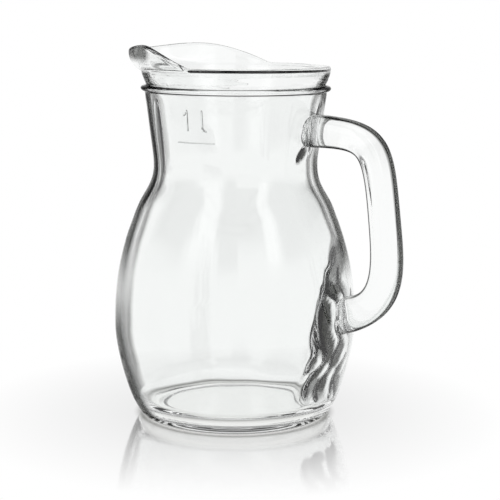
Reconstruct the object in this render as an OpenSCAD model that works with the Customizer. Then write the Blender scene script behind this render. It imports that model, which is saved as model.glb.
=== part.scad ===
// One-litre glass water jug: a bellied vessel with a banded collar and a drawn-out pouring lip,
// and a solid glass loop handle that is fused to the neck and to the shoulder of the belly.
// Origin on the vessel's axis at the table. The handle points along +X, the lip along -X, +Z is up.

/* [Vessel] */
// Radius of the belly at its widest
belly_r = 59.4; // [58.5:0.1:61]
// Height of the belly's widest ring
belly_z = 45; // [42:0.5:48]
// Radius of the waist, where the neck is slimmest
waist_r = 40.3; // [39.8:0.1:41]
// Height of the waist
waist_z = 129; // [127:0.5:131]
// Radius of the neck just under the bead
neck_top_r = 44.2; // [43.8:0.1:44.8]
// Thickness of the wall
wall = 3.4; // [3:0.1:4.6]
// Thickness of the glass floor at its middle
floor_t = 4; // [3:0.1:8]

/* [Rim] */
// Height of the plain half of the rim
rim_z = 171.7; // [170:0.1:174]
// Outer radius at the rim
rim_r = 45.9; // [45.5:0.1:46.4]
// Inner radius of the mouth, which a lid or stopper fits
mouth_r = 41.4; // [41:0.1:42]
// Radius of the bead's crest
bead_r = 46.2; // [45.8:0.1:46.8]
// Height of the middle of the bead
bead_z = 161; // [160.6:0.1:162]
// Height of the bead from edge to edge
bead_h = 2.8; // [2:0.1:3.6]

/* [Pouring lip] */
// Height of the lip's two shoulders above the plain rim
lip_rise = 9.8; // [6:0.1:11]
// How much lower the lip's tip is than its shoulders
tip_sag = 2.4; // [0:0.1:4]
// How far the lip's tip stands out past the rim
lip_reach = 11.2; // [9:0.1:15]
// Angle from the tip to where the lip runs out into the rim
lip_half_angle = 87; // [75:1:88]
// Angle from the tip within which the lip is drawn outwards
scoop_half_angle = 47; // [30:1:50]
// Thickness of the lip's edge
lip_t = 3.6; // [2.8:0.1:4]

/* [Handle] */
// Distance from the axis to the middle of the grip
grip_x = 78.5; // [76:0.1:81]
// Height of the handle's upper arm where it leaves the neck
handle_top_z = 142.2; // [140:0.1:144]
// How low the handle's lower bend reaches
handle_low_z = 54.6; // [52:0.1:58]
// Width of the handle across the jug
handle_w = 18; // [15:0.5:20]
// Thickness of the handle's grip
handle_t = 12.6; // [11:0.1:14]

/* [Capacity mark] */
// Height of the fill line, up to which the jug holds one litre
fill_z = 137.5; // [136:0.1:139]
// Height of the figures
mark_h = 10; // [7:0.5:11]
// How far the mark stands out from the neck
mark_relief = 0.5; // [0.3:0.1:0.8]

/* [Hidden] */
$fn = 96;

// Foot: a flat ring round a shallow push-up, with a rounded heel
foot_in_r = 35.4;
foot_out_r = 42;
foot_slope = 1;
foot_pull = 2.6;
heel_r = 47.4;
heel_z = 2.5;
heel_pull_down = [1.2, 1.6];
push_up = 1.2;

// Belly and neck: how far each curve runs straight before it bends, and the shoulder between them
heel_pull_up = [5, 5.5];
belly_pull_down = 12.5;
belly_pull_up = 18.5;
shoulder = [48, 103.2];
shoulder_slope = [-10, 24];
shoulder_pull_down = 25.8;
shoulder_pull_up = 10.3;
waist_pull = 14;

// Collar: the groove above the bead, and where its flare ends under the rim
groove_r = 43.7;
groove_z = 0.3;
flare_inset = 0.3;
flare_drop = 4;
rim_round = 1.4;

// Inside of the vessel: a hollow as deep as the wall allows, a fillet and a flat floor
floor_fillet = 7.8;
fillet_pull = [2.6, 5];
fillet_run = 14;
fillet_turn = 6;
neck_inside_z = 154;
mouth_low_z = 161;

// Lip: the seam where it rises from the collar, and the shape of its section
seam_drop = 1.2;
seam_rise = 0.4;
seam_inset = 0.15;
seam_step = 0.4;
under_drop = 4;
lip_dip = 0.3;
lip_ramp = 50;
sag_half_angle = 35;
lip_edge_round = 1.9;
lip_step = 3;
low_lip = 2.5;
scoop_power = 1.4;
outer_bulge = [2.1, 0.54];
inner_bulge = [2.2, 0.4545];
lip_levels = [0, 0.02, 0.06, 0.12, 0.22, 0.36, 0.55, 0.78, 1];

// Handle: its centre line is two curves that meet at grip_z, each point [x, z]
root_top = [38, handle_top_z];
root_low = [47, 53];
grip_z = 100;
grip_lean = 6.3;
bend_top = [grip_x - 5.4, handle_top_z - 1];
bend_low = [grip_x + 4.6, handle_low_z];
grip_pull_up = 40;
grip_pull_down = 25;
curve_steps = 18;
section_power = 2.8;
section_points = 24;

// How much the handle's section grows towards each root, as [over what distance, by what share]
thick_top = [73, 0.28];
thick_low = [80, 0.55];
wide_top = [18, 0.35];
wide_low = [24, 0.35];

// Capacity mark: where the figures and their strokes stand
stroke = 1.1;
figures_rise = 5.4;
figure_one_x = -3.5;
letter_l_x = 4.2;
flag = [2.6, 0.9];
flag_start = -2;
flag_lean = 40;
foot_stroke = [2.4, 0.9];
foot_start = -0.4;
foot_lean = -35;
line_t = 0.7;
line_half_angle = 14;

// ---- curves ----------------------------------------------------------------------------------

function bezier(p, t) =
    pow(1 - t, 3) * p[0] + 3 * t * pow(1 - t, 2) * p[1]
    + 3 * t * t * (1 - t) * p[2] + pow(t, 3) * p[3];

function curve(p, n) = [for (i = [1:n]) bezier(p, i / n)];

function arc(c, r, a0, a1, n) =
    [for (i = [0:n]) c + r * [cos(a0 + (a1 - a0) * i / n), sin(a0 + (a1 - a0) * i / n)]];

function unit(v) = v / norm(v);

function clamp01(x) = min(1, max(0, x));

// Smooth bump: 1 at 0, falling to 0 at -1 and 1
function bump(x) = 0.5 + 0.5 * cos(180 * min(1, abs(x)));

// Direction of an outline at point i, and the outline moved inwards by d
function tangent(pts, i) =
    unit(pts[min(i + 1, len(pts) - 1)] - pts[max(i - 1, 0)]);
function moved_in(pts, d) =
    [for (i = [0:len(pts) - 1]) pts[i] + d * [-tangent(pts, i)[1], tangent(pts, i)[0]]];

// ---- vessel ----------------------------------------------------------------------------------

// Foot and heel, from the axis outwards, as [radius, height]
heel = [heel_r, heel_z];
foot_outline = concat(
    [[0, push_up], [foot_in_r - foot_slope, push_up], [foot_in_r, 0], [foot_out_r, 0]],
    curve([[foot_out_r, 0], [foot_out_r + foot_pull, 0], heel - heel_pull_down, heel], 5)
);

// Outside of the belly and neck from the heel to just under the bead
belly = [belly_r, belly_z];
waist = [waist_r, waist_z];
neck_top = [neck_top_r, bead_z - bead_h / 2];
shoulder_dir = unit(shoulder_slope);
neck_dir = unit(neck_top - waist);
body_outline = concat(
    [heel],
    curve([heel, heel + heel_pull_up, belly - [0, belly_pull_down], belly], 12),
    curve([belly, belly + [0, belly_pull_up], shoulder - shoulder_pull_down * shoulder_dir, shoulder], 12),
    curve([shoulder, shoulder + shoulder_pull_up * shoulder_dir, waist - waist_pull * neck_dir, waist], 8),
    [neck_top]
);

// Bead: a half ellipse standing on the neck
bead_outline = [for (a = [-75:15:75])
    [neck_top_r + (bead_r - neck_top_r) * cos(a), bead_z + bead_h / 2 * sin(a)]];

// Collar above the bead, flaring to the rounded rim
collar_outline = concat(
    [[groove_r, bead_z + bead_h / 2 + groove_z], [rim_r - flare_inset, rim_z - flare_drop]],
    arc([rim_r - rim_round, rim_z - rim_round], rim_round, 0, 90, 5)
);

outer_outline = concat(foot_outline, body_outline, bead_outline, collar_outline);

// Inside, from the rim down to the axis: mouth, neck, belly, fillet and floor
floor_z = push_up + floor_t;
inner_wall = [for (p = moved_in(body_outline, wall))
    if (p[1] > floor_z + floor_fillet && p[1] < neck_inside_z) p];
wall_foot = inner_wall[0];
inner_outline = concat(
    arc([mouth_r + rim_round, rim_z - rim_round], rim_round, 90, 180, 5),
    [[mouth_r, mouth_low_z]],
    [for (i = [len(inner_wall) - 1:-1:0]) inner_wall[i]],
    curve([wall_foot, wall_foot - fillet_pull,
           [wall_foot[0] - fillet_turn, floor_z], [wall_foot[0] - fillet_run, floor_z]], 8),
    [[0, floor_z]]
);

// The vessel without its hollow, which cuts the handle's ends
module vessel_outside() {
    rotate_extrude() polygon(concat(outer_outline, [[0, rim_z]]));
}

// ---- pouring lip -----------------------------------------------------------------------------

// a is the angle from the tip of the lip. The lip's ends dip just below the rim's flat top.
function lip_height(a) =
    (lip_rise + lip_dip) * sin(90 * clamp01((lip_half_angle - abs(a)) / lip_ramp)) - lip_dip
    - tip_sag * bump(a / sag_half_angle);
function lip_edge(a) = min(lip_edge_round, 0.5 * (lip_height(a) + seam_rise));
function scoop(a) = bump(a / scoop_half_angle);

// The lip stays inside the rim's roundings where it is still low
function lip_inset(a) = seam_inset + (rim_round - seam_inset) * (1 - clamp01(lip_height(a) / low_lip));

// Sides of the lip: v runs from 0 at the foot to 1 below the rounded edge
function collar_r(z) = lookup(z, [for (p = collar_outline) [p[1], p[0]]]);
function lip_outside(a, v) =
    let (z0 = rim_z - seam_rise - under_drop * scoop(a),
         z = z0 + v * (rim_z + lip_height(a) - lip_edge(a) - z0),
         bulge = pow(1 - pow(1 - v, outer_bulge[0]), outer_bulge[1]),
         collar = collar_r(min(z, rim_z - rim_round)))
    [collar - lip_inset(a) + lip_reach * pow(scoop(a), scoop_power) * bulge, z];
function lip_inside(a, v) =
    let (z0 = rim_z - seam_rise,
         r0 = mouth_r + lip_inset(a),
         r1 = lip_outside(a, 1)[0] - lip_t,
         bulge = pow(1 - pow(1 - v, inner_bulge[0]), inner_bulge[1]))
    [r0 + max(0.1, r1 - r0) * bulge, z0 + v * (rim_z + lip_height(a) - lip_edge(a) - z0)];

// One section of the lip at angle a, from its foot inside the collar, over the edge and back
function lip_section(a) =
    let (outer_top = lip_outside(a, 1),
         inner_top = lip_inside(a, 1),
         foot = lip_outside(a, 0),
         c = (outer_top + inner_top) / 2,
         half = (outer_top[0] - inner_top[0]) / 2)
    concat(
        [[mouth_r + lip_inset(a) + seam_step, foot[1] - seam_drop]],
        [for (v = lip_levels) lip_inside(a, v)],
        [for (b = [150:-30:30]) c + [half * cos(b), lip_edge(a) * sin(b)]],
        [for (i = [len(lip_levels) - 1:-1:0]) lip_outside(a, lip_levels[i])],
        [foot - [seam_step, seam_drop]]
    );

// Solid through a row of equal rings of points, closed by its two end rings
module loft(rings) {
    n = len(rings[0]);
    m = len(rings);
    sides = [for (j = [0:m - 2], i = [0:n - 1], half = [0, 1])
        half == 0
            ? [j * n + i, j * n + (i + 1) % n, (j + 1) * n + (i + 1) % n]
            : [j * n + i, (j + 1) * n + (i + 1) % n, (j + 1) * n + i]];
    first = [[for (i = [n - 1:-1:0]) i]];
    last = [[for (i = [0:n - 1]) (m - 1) * n + i]];
    polyhedron([for (ring = rings) each ring], concat(sides, first, last));
}

module lip() {
    end = floor(lip_half_angle / lip_step) * lip_step + lip_step;
    loft([for (a = [-end:lip_step:end])
        [for (p = lip_section(a)) [-p[0] * cos(a), p[0] * sin(a), p[1]]]]);
}

// ---- handle ----------------------------------------------------------------------------------

grip = [grip_x, grip_z];
grip_dir = [sin(grip_lean), -cos(grip_lean)];
centre_line = concat(
    [root_top],
    curve([root_top, bend_top, grip - grip_pull_up * grip_dir, grip], curve_steps),
    curve([grip, grip + grip_pull_down * grip_dir, bend_low, root_low], curve_steps)
);

// How much the section has grown at distance d from a root
function growth(d, root) = 1 + root[1] * pow(clamp01(1 - d / root[0]), 2);
function half_size(p, size, top, low) =
    size / 2 * growth(norm(p - root_top), top) * growth(norm(p - root_low), low);

function superellipse(a, u, v) =
    [u * sign(cos(a)) * pow(abs(cos(a)), 2 / section_power),
     v * sign(sin(a)) * pow(abs(sin(a)), 2 / section_power)];

function handle_ring(i) =
    let (p = centre_line[i],
         t = tangent(centre_line, i),
         thick = half_size(p, handle_t, thick_top, thick_low),
         wide = half_size(p, handle_w, wide_top, wide_low))
    [for (k = [0:section_points - 1])
        let (s = superellipse(360 * k / section_points, thick, wide))
        [p[0] + s[0] * t[1], s[1], p[1] - s[0] * t[0]]];

module handle_bar() {
    loft([for (i = [0:len(centre_line) - 1]) handle_ring(i)]);
}

// ---- capacity mark ---------------------------------------------------------------------------

// A skin on the straight flare of the neck, as thick as the mark stands out
module neck_skin(d) {
    rotate_extrude() polygon([waist, waist + [d, 0], neck_top + [d, 0], neck_top]);
}

// The figure one has an upright and a short flag, the letter l an upright and a short foot
module figures(low_z) {
    translate([figure_one_x - stroke / 2, low_z]) square([stroke, mark_h]);
    translate([figure_one_x + flag_start, low_z + mark_h - flag[0]]) rotate(flag_lean) square(flag);
    translate([letter_l_x - stroke / 2, low_z]) square([stroke, mark_h]);
    translate([letter_l_x + foot_start, low_z]) rotate(foot_lean) square(foot_stroke);
}

module fill_line() {
    half_w = waist_r * sin(line_half_angle);
    translate([-half_w, fill_z - line_t / 2]) square([2 * half_w, line_t]);
}

// ---- sub-parts -------------------------------------------------------------------------------

module vessel() {
    color([0.86, 0.9, 0.88, 0.35]) union() {
        rotate_extrude() polygon(concat(outer_outline, inner_outline));
        lip();
    }
}

module handle() {
    color([0.84, 0.89, 0.87, 0.35]) difference() {
        handle_bar();
        vessel_outside();
    }
}

module capacity_mark() {
    color([0.8, 0.84, 0.83, 0.5]) intersection() {
        neck_skin(mark_relief);
        rotate([90, 0, 0]) linear_extrude(height = rim_r + 10) {
            figures(fill_z + figures_rise);
            fill_line();
        }
    }
}

vessel();
handle();
capacity_mark();
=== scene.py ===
"""Clear glass water jug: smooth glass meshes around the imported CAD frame, on a pale glossy floor."""

import math

import bmesh
import bpy
import numpy as np
from mathutils import Matrix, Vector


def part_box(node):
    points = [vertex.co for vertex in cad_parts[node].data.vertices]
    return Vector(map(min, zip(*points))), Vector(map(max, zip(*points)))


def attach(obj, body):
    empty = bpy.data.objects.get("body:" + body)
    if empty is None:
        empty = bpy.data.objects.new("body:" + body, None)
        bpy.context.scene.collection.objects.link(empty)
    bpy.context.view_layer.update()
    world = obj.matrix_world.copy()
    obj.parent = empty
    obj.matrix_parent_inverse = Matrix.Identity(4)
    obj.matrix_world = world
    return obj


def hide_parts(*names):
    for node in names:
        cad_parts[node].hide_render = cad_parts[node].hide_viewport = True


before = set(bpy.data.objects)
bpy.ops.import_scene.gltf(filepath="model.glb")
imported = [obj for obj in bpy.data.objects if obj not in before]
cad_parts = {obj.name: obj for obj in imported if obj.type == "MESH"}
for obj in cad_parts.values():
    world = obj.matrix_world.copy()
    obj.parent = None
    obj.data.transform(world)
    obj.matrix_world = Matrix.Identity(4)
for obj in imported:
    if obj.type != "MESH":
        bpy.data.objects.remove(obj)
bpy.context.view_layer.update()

MM = 0.001
vessel_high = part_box("vessel")[1] / MM
mark_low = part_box("capacity_mark")[0] / MM

# ---- sizes in millimetres, as in the CAD part; places on the outline are (radius, height) --------

PUSH_UP = 1.2
FOOT_IN_R = 35.4
FOOT_SLOPE = 1
FOOT_OUT_R = 42
FOOT_PULL = 2.6
HEEL = np.array([47.4, 2.5])
HEEL_PULL_DOWN = (1.2, 1.6)
HEEL_PULL_UP = (5, 5.5)
BELLY = np.array([round(vessel_high.x, 1), 45])
BELLY_PULL_DOWN = (0, 12.5)
BELLY_PULL_UP = (0, 18.5)
SHOULDER = np.array([48, 103.2])
SHOULDER_DIR = np.array([-10, 24]) / 26
SHOULDER_PULL_DOWN = 25.8
SHOULDER_PULL_UP = 10.3
WAIST = np.array([40.3, 129])
WAIST_PULL = 14
NECK_TOP = np.array([44.2, 159.6])
NECK_DIR = (NECK_TOP - WAIST) / np.linalg.norm(NECK_TOP - WAIST)

BEAD_CENTRE = np.array([44.2, 161])
BEAD_SIZE = (2.0, 1.4)
BEAD_HALF_ANGLE = 78
BEAD_STEP = 6
GROOVE = np.array([43.5, 162.7])
FLARE = [(44.4, 164.6), (45.5, 167.7), (45.9, 170.3)]
RIM_Z = 171.7
RIM_R = 45.9
RIM_ROUND = 1.4
RIM_SQUARENESS = 0.25

# inside of the vessel
WALL = 3.4
FLOOR_Z = PUSH_UP + 4
FILLET_TOP_Z = FLOOR_Z + 7.8
FILLET_PULL = (2.6, 5)
FILLET_TURN = 6
FILLET_RUN = 14
NECK_INSIDE_Z = 154
MOUTH_R = 41.4
MOUTH_LOW_Z = 161
MOUTH_DROP = 1.2

# pouring lip; angles are in degrees from its tip
LIP_RISE = round(vessel_high.z, 1) - RIM_Z
LIP_DIP = 0.3
LIP_RAMP = 50
LIP_HALF_ANGLE = 87
LIP_SOFTNESS = 0.15
LIP_FULL_RISE = 3
LIP_REACH = 11.2
LIP_EDGE = 1.9
LIP_THICKNESS = 3.6
TIP_SAG = 2.4
SAG_HALF_ANGLE = 35
SCOOP_HALF_ANGLE = 47
SCOOP_TOP = 0.4
SCOOP_DEPTH = 4
SCOOP_POWER = 1.4
OUTER_BULGE = (2.1, 0.54)
INNER_BULGE = 2.2

# handle: the pulls bend its line, and near a root its section grows by (reach, gain)
ROOT_TOP_DEEP = np.array([30, 142.4])
ROOT_TOP = np.array([38, 142.2])
BEND_TOP = (73.1, 141.2)
GRIP = np.array([78.5, 100])
GRIP_LEAN = math.radians(6.3)
GRIP_PULL_UP = 40
GRIP_PULL_DOWN = 25
BEND_LOW = (83.1, 54.6)
ROOT_LOW = np.array([47, 53])
ROOT_LOW_DEEP = np.array([40, 52.6])
ROOT_DEPTH = 2
HANDLE_WIDTH = 18
HANDLE_THICKNESS = 12.6
SECTION_POWER = 2.8
THICKER_TOP = (73, 0.28)
THICKER_LOW = (80, 0.55)
WIDER_TOP = (18, 0.35)
WIDER_LOW = (24, 0.35)

# capacity mark: strokes as (start, end, width, relief), each place (across, above the fill line)
FILL_LINE_BELOW = 0.35
FILL_Z = round(mark_low.z + FILL_LINE_BELOW, 1)
MARK_STROKES = [
    ((-3.5, 5.9), (-3.5, 14.9), 0.9, 0.4),
    ((-4.1, 13.8), (-5.2, 12.8), 0.9, 0.25),
    ((4.2, 14.9), (4.2, 7), 0.9, 0.22),
    ((4.2, 7), (4.9, 5.9), 0.9, 0.25),
    ((4.9, 5.9), (5.8, 5.5), 0.8, 0.15),
    ((-9.4, 0), (9.4, 0), 0.5, 0.02),
]
# a stroke's section as (share of half its width, share of its relief); below 0 is depth in millimetres
MARK_PROFILE = [(1, -0.03), (1, 0), (0.92, 0.4), (0.7, 0.73), (0.35, 1)]

# ---- fineness of the meshes ----------------------------------------------------------------------

VESSEL_COLUMNS = 264
SIDE_ROWS = 36
MOUTH_ROWS = 12
EDGE_STEP = 9
HANDLE_POINTS = 64
HANDLE_STEP = 1.2
CAP_SHARES = (0.75, 0.5, 0.25, 0.02)
CAP_POINTS = 9
SIDE_POINTS = 15
WELD = 2e-6

# ---- relief on the inside; angles are in degrees from the handle ---------------------------------

# slow waves as (height, waves round the jug, radians for each millimetre up, phase)
SLOW_WAVES = [(0.07, 9, 0.03, 0), (0.05, 17, -0.05, 1), (0.05, 2, 0.35, 0)]
WAVES_LOW_Z = 6
WAVES_FADE = 8
RELIEF_IN_R = 20
RELIEF_MOUTH_FADE = 10

# folds behind the lower root: where they lie
FOLD_MIDDLE = -6
FOLD_LEAN = 0.1
FOLD_LEAN_Z = 50
FOLD_HALF_ANGLE = 26
FOLD_SIDE_GAIN = 1.6
FOLD_NARROWING = 0.5
FOLD_NARROW_Z = 40
FOLD_NARROW_RUN = 40
FOLD_LOW_Z = 12
FOLD_LOW_FADE = 9
FOLD_TOP_Z = 82
FOLD_TOP_FADE = 14

# their shape: degrees of wave for each degree round the jug, and drifts as (degrees, radians for
# each millimetre up, phase)
FOLD_DEPTH = 2.2
FOLD_HEIGHT = 0.9
FOLD_WAVE = 34
SECOND_WAVE = 19
SECOND_HEIGHT = 0.6
SECOND_TWIST = 0.16
FOLD_DRIFTS = [(5, 0.11, 0), (2.5, 0.27, 1)]
# painted shade on the crests of the folds, with the gain and start of its step
FOLD_SHADE = 0.96
FOLD_SHADE_GAIN = 1.7
FOLD_SHADE_START = 0.35

# thick drops of glass behind the handle's two roots, and two on the side of the neck, each with painted shade
# on it, as (angle, height, half width in degrees, half height, lean in degrees, depth, painted shade)
DROPS = [
    (1, 79, 12, 13, 5, 1.2, 0.8),
    (-5, 67, 14, 5, 0, 2.6, 0.95),
    (-15, 49, 6, 21, -3, 3.2, 1.0),
    (-3, 36, 5, 11, 6, 2.6, 0.9),
    (-15, 21, 8, 10, -5, 2.0, 0.7),
    (5, 21, 5, 11, -6, 2.2, 0.85),
    (11, 54, 5, 11, 4, 2.2, 0.9),
    (-9, 131, 6, 5, 5, 1.2, 1.0),
    (4, 143, 4, 15, 5, 1.2, 0.8),
    (-127, 136, 5, 32, 2, 1.1, 0.85),
    (-141, 128, 5, 34, -3, 0.9, 0.7),
]
DROP_SHADE_GAIN = 2.2

# the painted shade on the inside lies between these heights; it starts at this share of the wall's depth
SHADE_LOW_Z = 8
SHADE_HIGH_Z = 158
INSIDE_SHARE = 0.6

# ---- painted light on the dark edges: places where they are painted lighter than elsewhere, in millimetres and degrees ---

PAINTED_LIGHT_SIDE = 0.92
PAINTED_LIGHT_SIDE_ANGLE = 32
PAINTED_LIGHT_SIDE_HALF_ANGLE = 56
PAINTED_LIGHT_SIDE_FADE = 22
PAINTED_LIGHT_SIDE_TOP_Z = 86
PAINTED_LIGHT_SIDE_TOP_FADE = 18
PAINTED_LIGHT_BELLY = 0.5
PAINTED_LIGHT_BELLY_Z = 66
PAINTED_LIGHT_BELLY_HALF_HEIGHT = 24
PAINTED_LIGHT_ROOT = 0.8
PAINTED_LIGHT_ROOT_ANGLE = 5
PAINTED_LIGHT_ROOT_HALF_ANGLE = 32
PAINTED_LIGHT_ROOT_Z = 143
PAINTED_LIGHT_ROOT_HALF_HEIGHT = 18
PAINTED_LIGHT_RIM_Z = 168
PAINTED_LIGHT_RIM_FADE = 2
# painted shade kept on the tip of the lip
DARK_LIP = 0.85
DARK_LIP_Z = 172.2
DARK_LIP_FADE = 4
# the handle gets no painted edge shade within this gap of the vessel
HANDLE_CLEAR_GAP = 9

# ---- looks of the glass, in metres ---------------------------------------------------------------

IOR = 1.52
# colour of the painted shade: a dark refraction mixed into the glass on its edges and on the marked drops and
# folds
PAINTED_SHADE_COLOUR = (0.022, 0.023, 0.019)
# painted shade on the edges: the dark edge by how far the glass turns away, as (facing, amount)
EDGE_RISE = 0.12
EDGE_MOST = 0.9
EDGE_END = [(0.86, 0.78), (0.96, 0)]
BODY_EDGE_START = 0.58
HANDLE_EDGE_START = 0.5
MARK_EDGE = 0.15
# the jug's floor lies under FLOOR_TOP, and its normal points up or down by more than LEVEL_NORMAL
LEVEL_NORMAL = 0.6
FLOOR_TOP = 0.012
BODY_TINT = (0.95, 0.96, 0.955)
HANDLE_TINT = (0.96, 0.97, 0.965)
BODY_WAVINESS = 0.1
HANDLE_WAVINESS = 0.12
WAVE_SCALE = 28
WAVE_DEPTH = 0.001
RIPPLE_SCALE = 420
COLLAR_Z = 0.1665
COLLAR_HALF_HEIGHT = 0.0028
COLLAR_RIPPLES = 0.5

# ---- studio, in metres and degrees ---------------------------------------------------------------

FLOOR_RADIUS = 3
FLOOR_SIDES = 96
# by distance from the jug's axis: colour of the floor, with a painted shadow under the jug and a dark painted
# ring under its heel, and how much it mirrors
FLOOR_GLOW_AND_PAINTED_SHADOW = [
    (0.036, (0.9, 0.9, 0.89)),
    (0.0455, (0.85, 0.85, 0.83)),
    (0.0462, (0.2, 0.2, 0.19)),
    (0.0472, (0.2, 0.2, 0.19)),
    (0.048, (1, 1, 1)),
]
FLOOR_MIRROR = [(0.043, 0), (0.05, 0.75), (0.09, 0.4), (0.135, 0)]
# how much of the mirror shows by how low the floor is looked at, from 0 straight down to 1 level
LOW_ANGLE = [(0.55, 0), (0.69, 1), (0.85, 1), (0.94, 0.4)]
GLOSS_ROUGHNESS = 0.07

# world by height of the direction, from 0 level to 1 straight up
OVERHEAD = [(0.4, 1), (0.5, 0.1), (0.9, 0.1), (0.96, 1)]

CARD_DISTANCE = 0.32
CARD_STEPS = 24
CARD_SIDE_GAIN = 2.5
# height, and how much of the card there is at that height: both its edges are soft
CARD_ROWS = [(0.1, 0), (0.15, 0.2), (0.2, 1), (0.5, 1), (0.6, 0)]
# name, middle, width, brightness
STUDIO_CARDS = [
    ("dark_left", -66, 92, 0.03),
    ("dark_right", 67, 16, 0.03),
    ("dark_far_right", 131, 50, 0.03),
    ("soft_left", 173, 30, 1.6),
    ("dark_front", 200, 20, 0.03),
    ("soft_right", 247, 22, 1.7),
]

CAMERA_DISTANCE = 0.7161
CAMERA_HEIGHT = 0.2021
CAMERA_AZIMUTH = math.radians(27)
CAMERA_DOWN = math.radians(9.57)
CAMERA_TURN = math.radians(0.583)
CAMERA_ROLL = math.radians(0.35)
SENSOR_WIDTH = 36
LENS = 106

BOUNCES = {
    "max_bounces": 32,
    "transmission_bounces": 32,
    "glossy_bounces": 24,
    "transparent_max_bounces": 32,
}


# ---- curves --------------------------------------------------------------------------------------

def bezier(points, count):
    """Points along a cubic Bezier curve."""
    p = np.array(points, float)
    t = np.linspace(0, 1, count)[:, None]
    return (1 - t) ** 3 * p[0] + 3 * t * (1 - t) ** 2 * p[1] + 3 * t * t * (1 - t) * p[2] + t ** 3 * p[3]


def bump(x):
    """Smooth bump: 1 at 0, falling to 0 at -1 and 1."""
    return 0.5 + 0.5 * np.cos(np.pi * np.minimum(1, np.abs(x)))


def smooth_step(x):
    """Smooth step: 0 up to 0, 1 from 1 on."""
    x = np.clip(x, 0, 1)
    return x * x * (3 - 2 * x)


def resample(path, step):
    """The same path with evenly spaced points."""
    lengths = np.concatenate([[0], np.cumsum(np.linalg.norm(np.diff(path, axis=0), axis=1))])
    s = np.linspace(0, lengths[-1], max(2, int(round(lengths[-1] / step)) + 1))
    return np.stack([np.interp(s, lengths, path[:, k]) for k in range(path.shape[1])], axis=1)


def thinned(path, turn, longest):
    """The points of a fine path that keep its shape: one for each turn in degrees or longest stretch."""
    t = np.diff(path, axis=0)
    heading = np.unwrap(np.arctan2(t[:, 1], t[:, 0]))
    kept = [0]
    for i in range(1, len(path) - 1):
        far = np.linalg.norm(path[i] - path[kept[-1]])
        if far >= longest or abs(heading[i] - heading[kept[-1]]) >= math.radians(turn):
            kept.append(i)
    return path[kept + [len(path) - 1]]


def softened(path, passes):
    """The path with its corners rounded a little; its ends stay."""
    p = path.copy()
    for _ in range(passes):
        p[1:-1] = 0.25 * p[:-2] + 0.5 * p[1:-1] + 0.25 * p[2:]
    return p


def eased(path, spacing, passes, turn, longest):
    """The path with soft corners and only the points that its shape needs."""
    return thinned(softened(resample(path, spacing), passes), turn, longest)


def headings(path):
    """Unit vectors along a path."""
    t = np.gradient(path, axis=0)
    return t / np.linalg.norm(t, axis=1)[:, None]


def moved_in(path, distance):
    """The path moved to its left by a distance."""
    t = headings(path)
    return path + distance * np.stack([-t[:, 1], t[:, 0]], axis=1)


def power_cos_sin(angle, power):
    """Cosine and sine raised to a power with their signs kept: a rounded square for a power under 1."""
    return [np.sign(f) * np.abs(f) ** power for f in (np.cos(angle), np.sin(angle))]


# ---- vessel --------------------------------------------------------------------------------------

def body_outline():
    """Outside of belly and neck, from the heel to under the bead, as (radius, height)."""
    low = bezier([HEEL, HEEL + HEEL_PULL_UP, BELLY - BELLY_PULL_DOWN, BELLY], 60)
    shoulder_low = SHOULDER - SHOULDER_PULL_DOWN * SHOULDER_DIR
    shoulder_high = SHOULDER + SHOULDER_PULL_UP * SHOULDER_DIR
    middle = bezier([BELLY, BELLY + BELLY_PULL_UP, shoulder_low, SHOULDER], 60)
    upper = bezier([SHOULDER, shoulder_high, WAIST - WAIST_PULL * NECK_DIR, WAIST], 40)
    neck = np.linspace(WAIST, NECK_TOP, 30)
    return np.concatenate([low, middle[1:], upper[1:], neck[1:]])


def vessel_radius(z, depth):
    """Radius of the vessel's outside at height z, less a depth into its wall."""
    outline = body_outline()
    return np.interp(z, outline[:, 1], outline[:, 0]) - depth


def outer_path():
    """Outside from the middle of the base up to the groove above the bead."""
    foot = np.array([FOOT_OUT_R, 0])
    base = [(0, PUSH_UP), (FOOT_IN_R - FOOT_SLOPE, PUSH_UP), (FOOT_IN_R, 0), foot]
    heel = bezier([foot, foot + (FOOT_PULL, 0), HEEL - HEEL_PULL_DOWN, HEEL], 12)
    angles = np.radians(np.arange(-BEAD_HALF_ANGLE, BEAD_HALF_ANGLE + 1, BEAD_STEP))
    bead = BEAD_CENTRE + BEAD_SIZE * np.stack([np.cos(angles), np.sin(angles)], axis=1)
    path = np.concatenate([np.array(base, float), heel[1:], body_outline()[1:], bead, [GROOVE]])
    return eased(path, spacing=0.25, passes=4, turn=4, longest=2.2)


def inner_path():
    """Inside from the mouth down over the fillet to the middle of the floor."""
    wall = moved_in(body_outline(), WALL)
    wall = wall[(wall[:, 1] > FILLET_TOP_Z) & (wall[:, 1] < NECK_INSIDE_Z)]
    top = wall[0]
    level = [(top[0] - FILLET_TURN, FLOOR_Z), (top[0] - FILLET_RUN, FLOOR_Z)]
    fillet = bezier([top, top - FILLET_PULL, *level], 30)
    path = np.concatenate([[(MOUTH_R, MOUTH_LOW_Z)], wall[::-1], fillet[1:], [(0, FLOOR_Z)]])
    return eased(path, spacing=0.4, passes=12, turn=3, longest=1.3)


def lip_shape(a):
    """Height above the plain rim, and share of the lip's reach, at angle a in degrees from its tip."""
    ramp_up = np.clip((LIP_HALF_ANGLE - np.abs(a)) / LIP_RAMP, 0, 1)
    height = (LIP_RISE + LIP_DIP) * np.sin(np.pi / 2 * ramp_up) - LIP_DIP - TIP_SAG * bump(a / SAG_HALF_ANGLE)
    height = 0.5 * (height + np.sqrt(height ** 2 + LIP_SOFTNESS))
    return height, bump(a / SCOOP_HALF_ANGLE)


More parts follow.
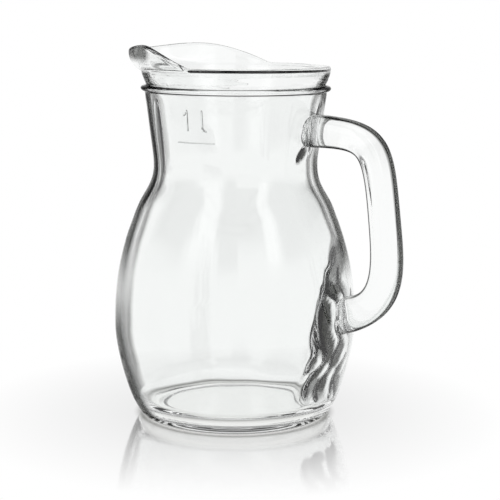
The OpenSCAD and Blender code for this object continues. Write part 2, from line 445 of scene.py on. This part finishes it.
def collar_side(scoop, z_edge):
    """Outside of the collar from the groove up: a flare, which the scoop pushes out."""
    z = GROOVE[1] + np.linspace(0, 1, SIDE_ROWS)[None, :] * (z_edge - GROOVE[1])
    flare = np.array([GROOVE, *FLARE])
    collar = np.interp(z, flare[:, 1], flare[:, 0])
    scoop_z = RIM_Z - SCOOP_TOP - SCOOP_DEPTH * scoop
    up = np.clip((z - scoop_z) / (z_edge - scoop_z), 0, 1)
    power, root = OUTER_BULGE
    r = collar + LIP_REACH * scoop ** SCOOP_POWER * (1 - (1 - up) ** power) ** root
    return np.stack([r, z], axis=2)


def rim_edge(outer_r, inner_r, z_edge, edge, tall):
    """Rounded edge from the outside over to the inside; the plain rim's is squarer than the lip's."""
    turn = np.radians(np.arange(EDGE_STEP, 180, EDGE_STEP))[None, :]
    across, up = power_cos_sin(turn, 1 - RIM_SQUARENESS * (1 - tall))
    r = 0.5 * (outer_r + inner_r) + 0.5 * (outer_r - inner_r) * across
    return np.stack([r, z_edge + edge * up], axis=2)


def mouth_side(inner_r, z_edge):
    """Inside from the edge down into the straight mouth."""
    down = np.linspace(0, 1, SIDE_ROWS)[None, :]
    low_z = RIM_Z - MOUTH_DROP
    bulge = (1 - down ** INNER_BULGE) ** (1 / INNER_BULGE)
    curved = np.stack([MOUTH_R + (inner_r - MOUTH_R) * bulge, z_edge + down * (low_z - z_edge)], axis=2)
    straight = np.linspace((MOUTH_R, low_z), (MOUTH_R, MOUTH_LOW_Z), MOUTH_ROWS)[1:]
    straight = np.broadcast_to(straight, (len(curved), *straight.shape))
    return np.concatenate([curved, straight], axis=1)


def rim_columns(a):
    """Outside of the collar, edge and inside of the mouth: an array (columns, points, 2)."""
    height, scoop = (x[:, None] for x in lip_shape(a))
    tall = smooth_step(height / LIP_FULL_RISE)
    edge = RIM_ROUND + (LIP_EDGE - RIM_ROUND) * tall
    z_edge = RIM_Z + height - edge
    outside = collar_side(scoop, z_edge)
    outer_r = outside[:, -1:, 0]
    inner_r = outer_r - (RIM_R - MOUTH_R + (LIP_THICKNESS - RIM_R + MOUTH_R) * tall)
    rounded = rim_edge(outer_r, inner_r, z_edge, edge, tall)
    return np.concatenate([outside, rounded, mouth_side(inner_r, z_edge)], axis=1)


def revolve(name, columns, angles):
    """Closed mesh from one profile per angle; the first and last points of all profiles lie on the axis."""
    n, m = columns.shape[:2]
    r, z = columns[:, 1:-1, 0], columns[:, 1:-1, 1]
    x = -r * np.cos(angles)[:, None]
    y = r * np.sin(angles)[:, None]
    ring = np.stack([x, y, z], axis=2).reshape(-1, 3)
    ends = [(0, 0, columns[0, 0, 1]), (0, 0, columns[0, -1, 1])]
    vertices = np.concatenate([ring, ends]) * MM
    k = m - 2
    faces = []
    for i in range(n):
        j = (i + 1) % n
        a, b = i * k, j * k
        faces += [(a + q, a + q + 1, b + q + 1, b + q) for q in range(k - 1)]
        faces.append((n * k, a, b))
        faces.append((n * k + 1, b + k - 1, a + k - 1))
    return new_mesh(name, vertices, faces)


def new_mesh(name, vertices, faces):
    """Smooth mesh object in the scene."""
    mesh = bpy.data.meshes.new(name)
    mesh.from_pydata([tuple(v) for v in vertices], [], faces)
    mesh.validate()
    mesh.shade_smooth()
    piece = bpy.data.objects.new(name, mesh)
    bpy.context.scene.collection.objects.link(piece)
    return piece


def handle_angle(a):
    """Angle in degrees from the handle, for an angle from the lip's tip."""
    return 180 - (a + 360) % 360


def drops(angle, z):
    """Depth of the thick drops of glass and the painted shade on them, at an angle in degrees from the handle
    and a height.
    """
    depth, shade = 0, 0
    for middle, middle_z, half_angle, half_height, lean, most, dark in DROPS:
        up = (z - middle_z) / half_height
        across = (angle - middle - lean * up) / half_angle
        spot = bump(np.sqrt(across ** 2 + up ** 2))
        depth = depth + most * spot
        shade = np.maximum(shade, dark * smooth_step(DROP_SHADE_GAIN * spot))
    return depth, shade


def fold_waves(angle, z):
    """Where the folds behind the lower root lie, from 0 to 1, and their waves, from -1.6 to 1.6."""
    beside = angle - FOLD_MIDDLE - FOLD_LEAN * (z - FOLD_LEAN_Z)
    half_angle = FOLD_HALF_ANGLE * (1 - FOLD_NARROWING * smooth_step((z - FOLD_NARROW_Z) / FOLD_NARROW_RUN))
    sides = smooth_step(FOLD_SIDE_GAIN * bump(beside / half_angle))
    low_end = smooth_step((z - FOLD_LOW_Z) / FOLD_LOW_FADE)
    top_end = smooth_step((FOLD_TOP_Z - z) / FOLD_TOP_FADE)
    drift = sum(size * np.sin(rise * z + phase) for size, rise, phase in FOLD_DRIFTS)
    first = np.sin(np.radians((beside + drift) * FOLD_WAVE))
    second = np.sin(np.radians((beside - drift) * SECOND_WAVE) + SECOND_TWIST * z)
    return sides * low_end * top_end, first + SECOND_HEIGHT * second


def inner_relief(a, z):
    """How far the inside stands inwards: slow waves all round, folds behind the lower root, and drops."""
    turn = np.radians(a)
    waves = sum(size * np.sin(count * turn + rise * z + phase) for size, count, rise, phase in SLOW_WAVES)
    place, folds = fold_waves(handle_angle(a), z)
    depth, _ = drops(handle_angle(a), z)
    waves = waves * smooth_step((z - WAVES_LOW_Z) / WAVES_FADE)
    return waves + place * (FOLD_DEPTH + FOLD_HEIGHT * folds) + depth


def make_vessel():
    """The vessel with its lip, as one closed mesh."""
    angles = np.linspace(-180, 180, VESSEL_COLUMNS, endpoint=False)
    low, high = (np.repeat(path[None], VESSEL_COLUMNS, axis=0) for path in (outer_path(), inner_path()))
    r, z = high[..., 0], high[..., 1]
    near_mouth = smooth_step((MOUTH_LOW_Z - z) / RELIEF_MOUTH_FADE)
    high[..., 0] -= near_mouth * inner_relief(angles[:, None], z) * (r > RELIEF_IN_R)
    columns = np.concatenate([low[:, :-1], rim_columns(angles), high[:, 1:]], axis=1)
    return revolve("vessel_glass", columns, np.radians(angles))


# ---- handle --------------------------------------------------------------------------------------

def handle_line():
    """Middle of the handle from inside the neck's wall to inside the belly's, as (distance, height)."""
    down = np.array([math.sin(GRIP_LEAN), -math.cos(GRIP_LEAN)])
    upper = bezier([ROOT_TOP, BEND_TOP, GRIP - GRIP_PULL_UP * down, GRIP], 90)
    lower = bezier([GRIP, GRIP + GRIP_PULL_DOWN * down, BEND_LOW, ROOT_LOW], 90)
    return resample(np.concatenate([[ROOT_TOP_DEEP], upper, lower[1:], [ROOT_LOW_DEEP]]), HANDLE_STEP)


def growth(line, root, reach, gain):
    """How much larger the section is along the line, near a root."""
    d = np.linalg.norm(line - root, axis=1)
    return 1 + gain * np.clip(1 - d / reach, 0, 1) ** 2


def handle_rings():
    """Cross-sections along the handle, from the neck to the belly, as an array (rings, points, 3)."""
    line = handle_line()
    t = headings(line)
    thick = HANDLE_THICKNESS / 2 * growth(line, ROOT_TOP, *THICKER_TOP) * growth(line, ROOT_LOW, *THICKER_LOW)
    wide = HANDLE_WIDTH / 2 * growth(line, ROOT_TOP, *WIDER_TOP) * growth(line, ROOT_LOW, *WIDER_LOW)
    turn = np.linspace(0, 2 * np.pi, HANDLE_POINTS, endpoint=False)
    out, side = power_cos_sin(turn, 2 / SECTION_POWER)
    x = line[:, :1] + thick[:, None] * out * t[:, 1:]
    z = line[:, 1:] - thick[:, None] * out * t[:, :1]
    y = wide[:, None] * side
    return np.stack([x, y, z], axis=2)


def root_gap(points):
    """How far points lie outside the surface in the vessel's wall where the handle ends."""
    return np.hypot(points[..., 0], points[..., 1]) - vessel_radius(points[..., 2], ROOT_DEPTH)


def cut_to_wall(rings):
    """The rings moved along the handle so that the first and last lie in the middle of the vessel's wall."""
    count = len(rings)
    middle = count // 2
    cut = np.empty_like(rings)
    for k in range(rings.shape[1]):
        gap = root_gap(rings[:, k])
        first = max(i for i in range(middle) if gap[i] <= 0)
        last = min(i for i in range(middle, count) if gap[i] <= 0)
        start = first + gap[first] / (gap[first] - gap[first + 1])
        end = last - gap[last] / (gap[last] - gap[last - 1])
        s = np.linspace(start, end, count)
        for axis in range(3):
            cut[:, k, axis] = np.interp(s, np.arange(count), rings[:, k, axis])
    return cut


def cap(ring):
    """Rings that shrink from a root's ring to its middle, in the middle of the vessel's wall."""
    centre = ring.mean(axis=0)
    rows = []
    for share in CAP_SHARES:
        p = centre + (ring - centre) * share
        p[:, 0] = np.sqrt(vessel_radius(p[:, 2], ROOT_DEPTH) ** 2 - p[:, 1] ** 2)
        rows.append(p)
    return rows


def make_handle():
    """The handle as a closed mesh that ends inside the vessel's wall."""
    rings = cut_to_wall(handle_rings())
    rows = np.array(cap(rings[0])[::-1] + list(rings) + cap(rings[-1]))
    m, n = rows.shape[:2]
    faces = [(j * n + i, j * n + (i + 1) % n, (j + 1) * n + (i + 1) % n, (j + 1) * n + i)
             for j in range(m - 1) for i in range(n)]
    faces.append(tuple(range(n - 1, -1, -1)))
    faces.append(tuple((m - 1) * n + i for i in range(n)))
    return new_mesh("handle_glass", rows.reshape(-1, 3) * MM, faces)


# ---- capacity mark -------------------------------------------------------------------------------

def ridge(start, end, width, relief):
    """Rows of one raised stroke, outermost first: arrays (points, 3) of across, up and height."""
    start, end = np.array(start, float), np.array(end, float)
    along = (end - start) / np.linalg.norm(end - start)
    side = np.array([-along[1], along[0]])
    turn = np.linspace(-np.pi / 2, np.pi / 2, CAP_POINTS)
    between = [start + (end - start) * i / (SIDE_POINTS + 1) for i in range(1, SIDE_POINTS + 1)]
    rows = []
    for share, height in MARK_PROFILE:
        r = width / 2 * share
        far = [end + r * (np.cos(t) * along + np.sin(t) * side) for t in turn]
        near = [start - r * (np.cos(t) * along + np.sin(t) * side) for t in turn]
        left = [p + r * side for p in between[::-1]]
        right = [p - r * side for p in between]
        ring = far + left + near + right
        rows.append(np.array([(*p, height if height < 0 else height * relief) for p in ring]))
    return rows


def lid(base, upward):
    """Faces that close a stroke's ring: its two round ends and the strip between its sides."""
    near = CAP_POINTS + SIDE_POINTS
    last = near + CAP_POINTS
    left = [CAP_POINTS - 1] + list(range(CAP_POINTS, near)) + [near]
    right = [0] + list(range(last + SIDE_POINTS - 1, last - 1, -1)) + [last - 1]
    faces = [tuple(range(CAP_POINTS)), tuple(range(near, last))]
    faces += [(right[i], left[i], left[i + 1], right[i + 1]) for i in range(len(left) - 1)]
    return [tuple(base + v for v in (face if upward else face[::-1])) for face in faces]


def on_neck(points):
    """Points (across, above the fill line, height) laid on the front of the neck."""
    z = FILL_Z + points[:, 1]
    r = vessel_radius(z, 0)
    turn = np.arcsin(points[:, 0] / r)
    out = r + points[:, 2]
    return np.stack([out * np.sin(turn), -out * np.cos(turn), z], axis=1)


def make_mark():
    """The figure 1, the letter l and the fill line, as raised strokes."""
    vertices, faces = [], []
    for stroke in MARK_STROKES:
        rows = [on_neck(row) for row in ridge(*stroke)]
        n = len(rows[0])
        base = len(vertices)
        for row in rows:
            vertices += [tuple(p * MM) for p in row]
        faces += lid(base, False)
        for j in range(len(rows) - 1):
            for i in range(n):
                a, b = base + j * n + i, base + j * n + (i + 1) % n
                faces.append((a, b, b + n, a + n))
        faces += lid(base + (len(rows) - 1) * n, True)
    return new_mesh("capacity_mark_glass", vertices, faces)


# ---- fused joints --------------------------------------------------------------------------------

def boolean(a, b, operation):
    """The mesh of a combined with b."""
    modifier = a.modifiers.new("cut", "BOOLEAN")
    modifier.operation = operation
    modifier.object = b
    modifier.solver = "MANIFOLD"
    depsgraph = bpy.context.evaluated_depsgraph_get()
    result = bpy.data.meshes.new_from_object(a.evaluated_get(depsgraph))
    a.modifiers.remove(modifier)
    return result


def faces_of(mesh, index):
    """The faces with one material index, each as its vertices."""
    return [tuple(p.vertices) for p in mesh.polygons if p.material_index == index]


def joined(parts):
    """One closed mesh from [(mesh, faces, flipped, material index)], welded where they meet."""
    work = bmesh.new()
    for mesh, faces, flipped, index in parts:
        used = {}
        for face in faces:
            corners = []
            for v in (reversed(face) if flipped else face):
                if v not in used:
                    used[v] = work.verts.new(mesh.vertices[v].co)
                corners.append(used[v])
            new = work.faces.new(corners)
            new.material_index = index
            new.smooth = True
    bmesh.ops.remove_doubles(work, verts=work.verts, dist=WELD)
    mesh = bpy.data.meshes.new("welded")
    work.to_mesh(mesh)
    work.free()
    return mesh


def fuse(vessel, handle):
    """Cuts the handle to the vessel's surface; the patches where the two are one glass get material 1."""
    for p in handle.data.polygons:
        p.material_index = 1
    for piece in (vessel, handle):
        for name in ("of_vessel", "of_handle"):
            piece.data.materials.append(bpy.data.materials.new(name))
    both = boolean(vessel, handle, "UNION")
    shared = boolean(vessel, handle, "INTERSECT")
    patch = faces_of(shared, 0)
    new_vessel = joined([(both, faces_of(both, 0), False, 0), (shared, patch, False, 1)])
    new_handle = joined([(both, faces_of(both, 1), False, 0), (shared, patch, True, 1)])
    vessel.data = new_vessel
    handle.data = new_handle


# ---- painted shade and painted light, marked on the meshes ---------------------------------------

def coordinates(mesh):
    """x, y and z of a mesh's vertices in millimetres."""
    return (np.array([v.co[k] for v in mesh.vertices]) / MM for k in range(3))


def set_values(mesh, name, values):
    """Gives each vertex a value that the material reads by name."""
    layer = mesh.attributes.new(name, "FLOAT", "POINT")
    layer.data.foreach_set("value", values.astype(np.float32))


def painted_light_places(angle, z):
    """Painted light: where the vessel's dark edges are painted lighter than elsewhere, from 0 to 1."""
    side = smooth_step((PAINTED_LIGHT_SIDE_HALF_ANGLE - np.abs(angle - PAINTED_LIGHT_SIDE_ANGLE)) / PAINTED_LIGHT_SIDE_FADE)
    side *= smooth_step((PAINTED_LIGHT_SIDE_TOP_Z - z) / PAINTED_LIGHT_SIDE_TOP_FADE)
    belly = bump((z - PAINTED_LIGHT_BELLY_Z) / PAINTED_LIGHT_BELLY_HALF_HEIGHT)
    root = bump((angle - PAINTED_LIGHT_ROOT_ANGLE) / PAINTED_LIGHT_ROOT_HALF_ANGLE)
    root *= bump((z - PAINTED_LIGHT_ROOT_Z) / PAINTED_LIGHT_ROOT_HALF_HEIGHT)
    rim = smooth_step((z - PAINTED_LIGHT_RIM_Z) / PAINTED_LIGHT_RIM_FADE)
    rim *= 1 - DARK_LIP * smooth_step((z - DARK_LIP_Z) / DARK_LIP_FADE)
    places = [PAINTED_LIGHT_SIDE * side, PAINTED_LIGHT_BELLY * belly, PAINTED_LIGHT_ROOT * root, rim]
    return np.clip(np.maximum.reduce(places), 0, 1)


def shade_glass(mesh):
    """Marks painted shade on the vessel's thick drops and folds, and painted light where its dark edges are
    lifted.
    """
    x, y, z = coordinates(mesh)
    angle = np.degrees(np.arctan2(y, x))
    inside = np.hypot(x, y) < vessel_radius(z, INSIDE_SHARE * WALL)
    _, shade = drops(angle, z)
    place, waves = fold_waves(angle, z)
    folds = FOLD_SHADE * place * smooth_step(FOLD_SHADE_GAIN * waves + FOLD_SHADE_START)
    shade = np.maximum(shade, folds) * inside * (z > SHADE_LOW_Z) * (z < SHADE_HIGH_Z)
    set_values(mesh, "shade", shade)
    # the "clear" mark is painted light: it lifts the painted dark edge
    set_values(mesh, "clear", painted_light_places(angle, z))


def shade_handle(mesh):
    """Marks the handle's roots, where it runs into the vessel and has no edge, so no painted edge shade lies
    there.
    """
    x, y, z = coordinates(mesh)
    gap = np.hypot(x, y) - vessel_radius(z, 0)
    set_values(mesh, "clear", 1 - smooth_step(gap / HANDLE_CLEAR_GAP))


# ---- nodes ---------------------------------------------------------------------------------------

def fill_in(tree, made, values):
    """Sets or links a node's inputs by name; names that aren't inputs are its settings."""
    for key, value in values.items():
        if key not in made.inputs:
            setattr(made, key, value)
        elif isinstance(value, bpy.types.NodeSocket):
            tree.links.new(value, made.inputs[key])
        else:
            made.inputs[key].default_value = value
    return made


def node(tree, kind, **values):
    """New node with the given inputs and settings."""
    return fill_in(tree, tree.nodes.new(kind), values)


def math_node(tree, operation, first, second=0):
    """Result of a calculation with two numbers or sockets."""
    made = tree.nodes.new("ShaderNodeMath")
    made.operation = operation
    for socket, value in zip(made.inputs, (first, second)):
        if isinstance(value, (int, float)):
            socket.default_value = value
        else:
            tree.links.new(value, socket)
    return made.outputs["Value"]


def ramp(tree, stops, value):
    """Colour at a value, from stops of (position, grey) or (position, colour)."""
    made = node(tree, "ShaderNodeValToRGB", Fac=value)
    elements = made.color_ramp.elements
    while len(elements) < len(stops):
        elements.new(0.5)
    for element, (position, colour) in zip(elements, stops):
        element.position = position
        element.color = (*colour, 1) if isinstance(colour, tuple) else (colour, colour, colour, 1)
    return made.outputs["Color"]


def empty_material(name):
    """New material without nodes, and its tree."""
    made = bpy.data.materials.new(name)
    made.use_nodes = True
    made.node_tree.nodes.clear()
    return made, made.node_tree


def show(tree, shader):
    """Makes a shader the material's surface."""
    output = tree.nodes.get("Material Output") or tree.nodes.new("ShaderNodeOutputMaterial")
    tree.links.new(shader, output.inputs["Surface"])


def mixed(tree, share, first, second):
    """The first shader where share is 0 and the second where it is 1."""
    mix = node(tree, "ShaderNodeMixShader", Fac=share)
    tree.links.new(first, mix.inputs[1])
    tree.links.new(second, mix.inputs[2])
    return mix.outputs["Shader"]


# ---- materials -----------------------------------------------------------------------------------

def surface_waves(tree, place, height, waviness):
    """Normal of a surface that waves very slightly, with fine ripples on the collar."""
    waves = node(tree, "ShaderNodeTexNoise", Vector=place, Scale=WAVE_SCALE, Detail=1)
    ripples = node(tree, "ShaderNodeTexNoise", Vector=place, Scale=RIPPLE_SCALE, Detail=2)
    off_middle = math_node(tree, "ABSOLUTE", math_node(tree, "SUBTRACT", height, COLLAR_Z))
    collar = math_node(tree, "LESS_THAN", off_middle, COLLAR_HALF_HEIGHT)
    strength = math_node(tree, "MULTIPLY", collar, COLLAR_RIPPLES)
    rough = math_node(tree, "MULTIPLY", strength, ripples.outputs["Fac"])
    relief = math_node(tree, "ADD", waves.outputs["Fac"], rough)
    slope = node(tree, "ShaderNodeBump", Strength=waviness, Distance=WAVE_DEPTH, Height=relief)
    return slope.outputs["Normal"]


def off_the_floor(tree, height):
    """1 on all of the jug but its level floor, which is always seen at a low angle and gets no painted edge
    shade.
    """
    shape = tree.nodes.new("ShaderNodeNewGeometry")
    normal = node(tree, "ShaderNodeSeparateXYZ", Vector=shape.outputs["Normal"])
    upright = math_node(tree, "LESS_THAN", math_node(tree, "ABSOLUTE", normal.outputs["Z"]), LEVEL_NORMAL)
    above = math_node(tree, "GREATER_THAN", height, FLOOR_TOP)
    return math_node(tree, "MAXIMUM", upright, above)


def painted_shade_share(tree, height, edge_amount, edge_start):
    """Share of painted shade: where a wall is seen edge on, and where the mesh is marked with shade; the
    marked painted light lifts the edge part.
    """
    facing = node(tree, "ShaderNodeLayerWeight", Blend=0.5)
    stops = [(edge_start, 0), (edge_start + EDGE_RISE, EDGE_MOST)] + EDGE_END
    edge = ramp(tree, stops, facing.outputs["Facing"])
    shade = node(tree, "ShaderNodeAttribute", attribute_name="shade")
    painted_light = node(tree, "ShaderNodeAttribute", attribute_name="clear")
    kept = math_node(tree, "SUBTRACT", 1, painted_light.outputs["Fac"])
    allowed = math_node(tree, "MULTIPLY", off_the_floor(tree, height), kept)
    share = math_node(tree, "MULTIPLY", edge, math_node(tree, "MULTIPLY", allowed, edge_amount))
    return math_node(tree, "MAXIMUM", share, shade.outputs["Fac"])


def glass(name, tint, waviness, edge_amount, edge_start):
    """Clear soda-lime glass with painted shade: a dark refraction is mixed in where a wall is seen edge on
    and where the mesh is marked with painted shade.
    """
    made = bpy.data.materials.new(name)
    made.use_nodes = True
    tree = made.node_tree
    place = tree.nodes.new("ShaderNodeTexCoord").outputs["Object"]
    height = node(tree, "ShaderNodeSeparateXYZ", Vector=place).outputs["Z"]
    normal = surface_waves(tree, place, height, waviness)
    clear = fill_in(tree, tree.nodes["Principled BSDF"], {
        "Base Color": (*tint, 1), "Transmission Weight": 1, "IOR": IOR, "Roughness": 0, "Normal": normal,
    })
    # painted shade: a near-black refraction mixed in on the edges and on the marked places
    dark = node(tree, "ShaderNodeBsdfRefraction", IOR=IOR, Roughness=0, Color=(*PAINTED_SHADE_COLOUR, 1), Normal=normal)
    share = painted_shade_share(tree, height, edge_amount, edge_start)
    show(tree, mixed(tree, share, clear.outputs["BSDF"], dark.outputs["BSDF"]))
    return made


def fused_glass():
    """Where handle and vessel are one glass there is no surface, so light goes straight through."""
    made, tree = empty_material("fused_glass")
    show(tree, tree.nodes.new("ShaderNodeBsdfTransparent").outputs["BSDF"])
    return made


def floor_material():
    """White glossy floor: it mirrors the jug near its foot, and a painted shadow darkens its glow under the
    jug.
    """
    made, tree = empty_material("white_gloss")
    place = tree.nodes.new("ShaderNodeTexCoord")
    length = node(tree, "ShaderNodeVectorMath", operation="LENGTH")
    tree.links.new(place.outputs["Object"], length.inputs[0])
    distance = length.outputs["Value"]
    facing = node(tree, "ShaderNodeLayerWeight", Blend=0.5)
    low_angle = ramp(tree, LOW_ANGLE, facing.outputs["Facing"])
    share = math_node(tree, "MULTIPLY", ramp(tree, FLOOR_MIRROR, distance), low_angle)
    # painted shadow: the floor's glow is darker under the jug and in a ring under its heel
    glow = node(tree, "ShaderNodeEmission", Color=ramp(tree, FLOOR_GLOW_AND_PAINTED_SHADOW, distance))
    gloss = node(tree, "ShaderNodeBsdfGlossy", Roughness=GLOSS_ROUGHNESS)
    show(tree, mixed(tree, share, glow.outputs["Emission"], gloss.outputs["BSDF"]))
    return made


def card_material(name, brightness):
    """Glowing card that fades out towards its edges."""
    made, tree = empty_material(name)
    cover = node(tree, "ShaderNodeAttribute", attribute_name="cover")
    glow = node(tree, "ShaderNodeEmission", Strength=brightness)
    clear = tree.nodes.new("ShaderNodeBsdfTransparent")
    show(tree, mixed(tree, cover.outputs["Fac"], clear.outputs["BSDF"], glow.outputs["Emission"]))
    return made


# ---- studio --------------------------------------------------------------------------------------

def make_floor():
    """Floor under the jug, out to the horizon."""
    bpy.ops.mesh.primitive_circle_add(vertices=FLOOR_SIDES, radius=FLOOR_RADIUS, fill_type="NGON")
    floor = bpy.context.object
    floor.name = "floor"
    floor.data.materials.append(floor_material())


def studio_card(name, middle, width, brightness):
    """Upright card that stands round the jug, middle and width in degrees; the camera never sees it."""
    turn = np.radians(np.linspace(middle - width / 2, middle + width / 2, CARD_STEPS + 1))
    cover = np.minimum(1, CARD_SIDE_GAIN * np.sin(np.linspace(0, np.pi, CARD_STEPS + 1)))
    points = [(-CARD_DISTANCE * math.sin(t), CARD_DISTANCE * math.cos(t), z)
              for z, _ in CARD_ROWS for t in turn]
    n = CARD_STEPS + 1
    faces = [(j * n + i, j * n + i + 1, (j + 1) * n + i + 1, (j + 1) * n + i)
             for j in range(len(CARD_ROWS) - 1) for i in range(CARD_STEPS)]
    mesh = bpy.data.meshes.new(name)
    mesh.from_pydata(points, [], faces)
    set_values(mesh, "cover", np.concatenate([share * cover for _, share in CARD_ROWS]))
    card = bpy.data.objects.new(name, mesh)
    bpy.context.scene.collection.objects.link(card)
    card.visible_camera = False
    card.visible_shadow = False
    card.visible_diffuse = False
    card.data.materials.append(card_material(name, brightness))


def make_world():
    """White for the camera, near the horizon and straight up; dark between, for dark lines in the glass."""
    world = bpy.data.worlds.new("studio")
    world.use_nodes = True
    bpy.context.scene.world = world
    tree = world.node_tree
    background = tree.nodes["Background"]
    place = tree.nodes.new("ShaderNodeTexCoord")
    direction = node(tree, "ShaderNodeSeparateXYZ", Vector=place.outputs["Generated"])
    path = tree.nodes.new("ShaderNodeLightPath")
    mix = tree.nodes.new("ShaderNodeMix")
    mix.data_type = "RGBA"
    tree.links.new(path.outputs["Is Camera Ray"], mix.inputs["Factor"])
    tree.links.new(ramp(tree, OVERHEAD, direction.outputs["Z"]), mix.inputs["A"])
    mix.inputs["B"].default_value = (1, 1, 1, 1)
    tree.links.new(mix.outputs["Result"], background.inputs["Color"])


def make_camera():
    """The camera that fits the photo."""
    data = bpy.data.cameras.new("camera")
    data.sensor_width = SENSOR_WIDTH
    data.lens = LENS
    camera = bpy.data.objects.new("camera", data)
    bpy.context.scene.collection.objects.link(camera)
    camera.location = (CAMERA_DISTANCE * math.sin(CAMERA_AZIMUTH),
                       -CAMERA_DISTANCE * math.cos(CAMERA_AZIMUTH), CAMERA_HEIGHT)
    turn = Matrix.Rotation(CAMERA_AZIMUTH - CAMERA_TURN, 4, "Z")
    tilt = Matrix.Rotation(math.pi / 2 - CAMERA_DOWN, 4, "X")
    roll = Matrix.Rotation(CAMERA_ROLL, 4, "Z")
    camera.rotation_euler = (turn @ tilt @ roll).to_euler()
    bpy.context.scene.camera = camera


# ---- the jug -------------------------------------------------------------------------------------

make_camera()
make_floor()
make_world()
for card in STUDIO_CARDS:
    studio_card(*card)
bpy.context.scene.view_settings.view_transform = "Standard"
for kind, count in BOUNCES.items():
    setattr(bpy.context.scene.cycles, kind, count)

vessel = make_vessel()
handle = make_handle()
fuse(vessel, handle)
shade_glass(vessel.data)
shade_handle(handle.data)
body_glass = glass("jug_glass", BODY_TINT, BODY_WAVINESS, 1, BODY_EDGE_START)
handle_glass = glass("handle_glass", HANDLE_TINT, HANDLE_WAVINESS, 1, HANDLE_EDGE_START)
mark_glass = glass("mark_glass", BODY_TINT, BODY_WAVINESS, MARK_EDGE, BODY_EDGE_START)
fused = fused_glass()
mark = make_mark()
pieces = [
    (vessel, body_glass, "vessel", "clear_glass"),
    (handle, handle_glass, "handle", "handle_glass"),
    (mark, mark_glass, "capacity_mark", "raised_mark"),
]
for piece, finish, cad_node, slot in pieces:
    piece.data.materials.clear()
    piece.data.materials.append(finish)
    piece.data.materials.append(fused)
    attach(piece, "root")
    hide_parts(cad_node)
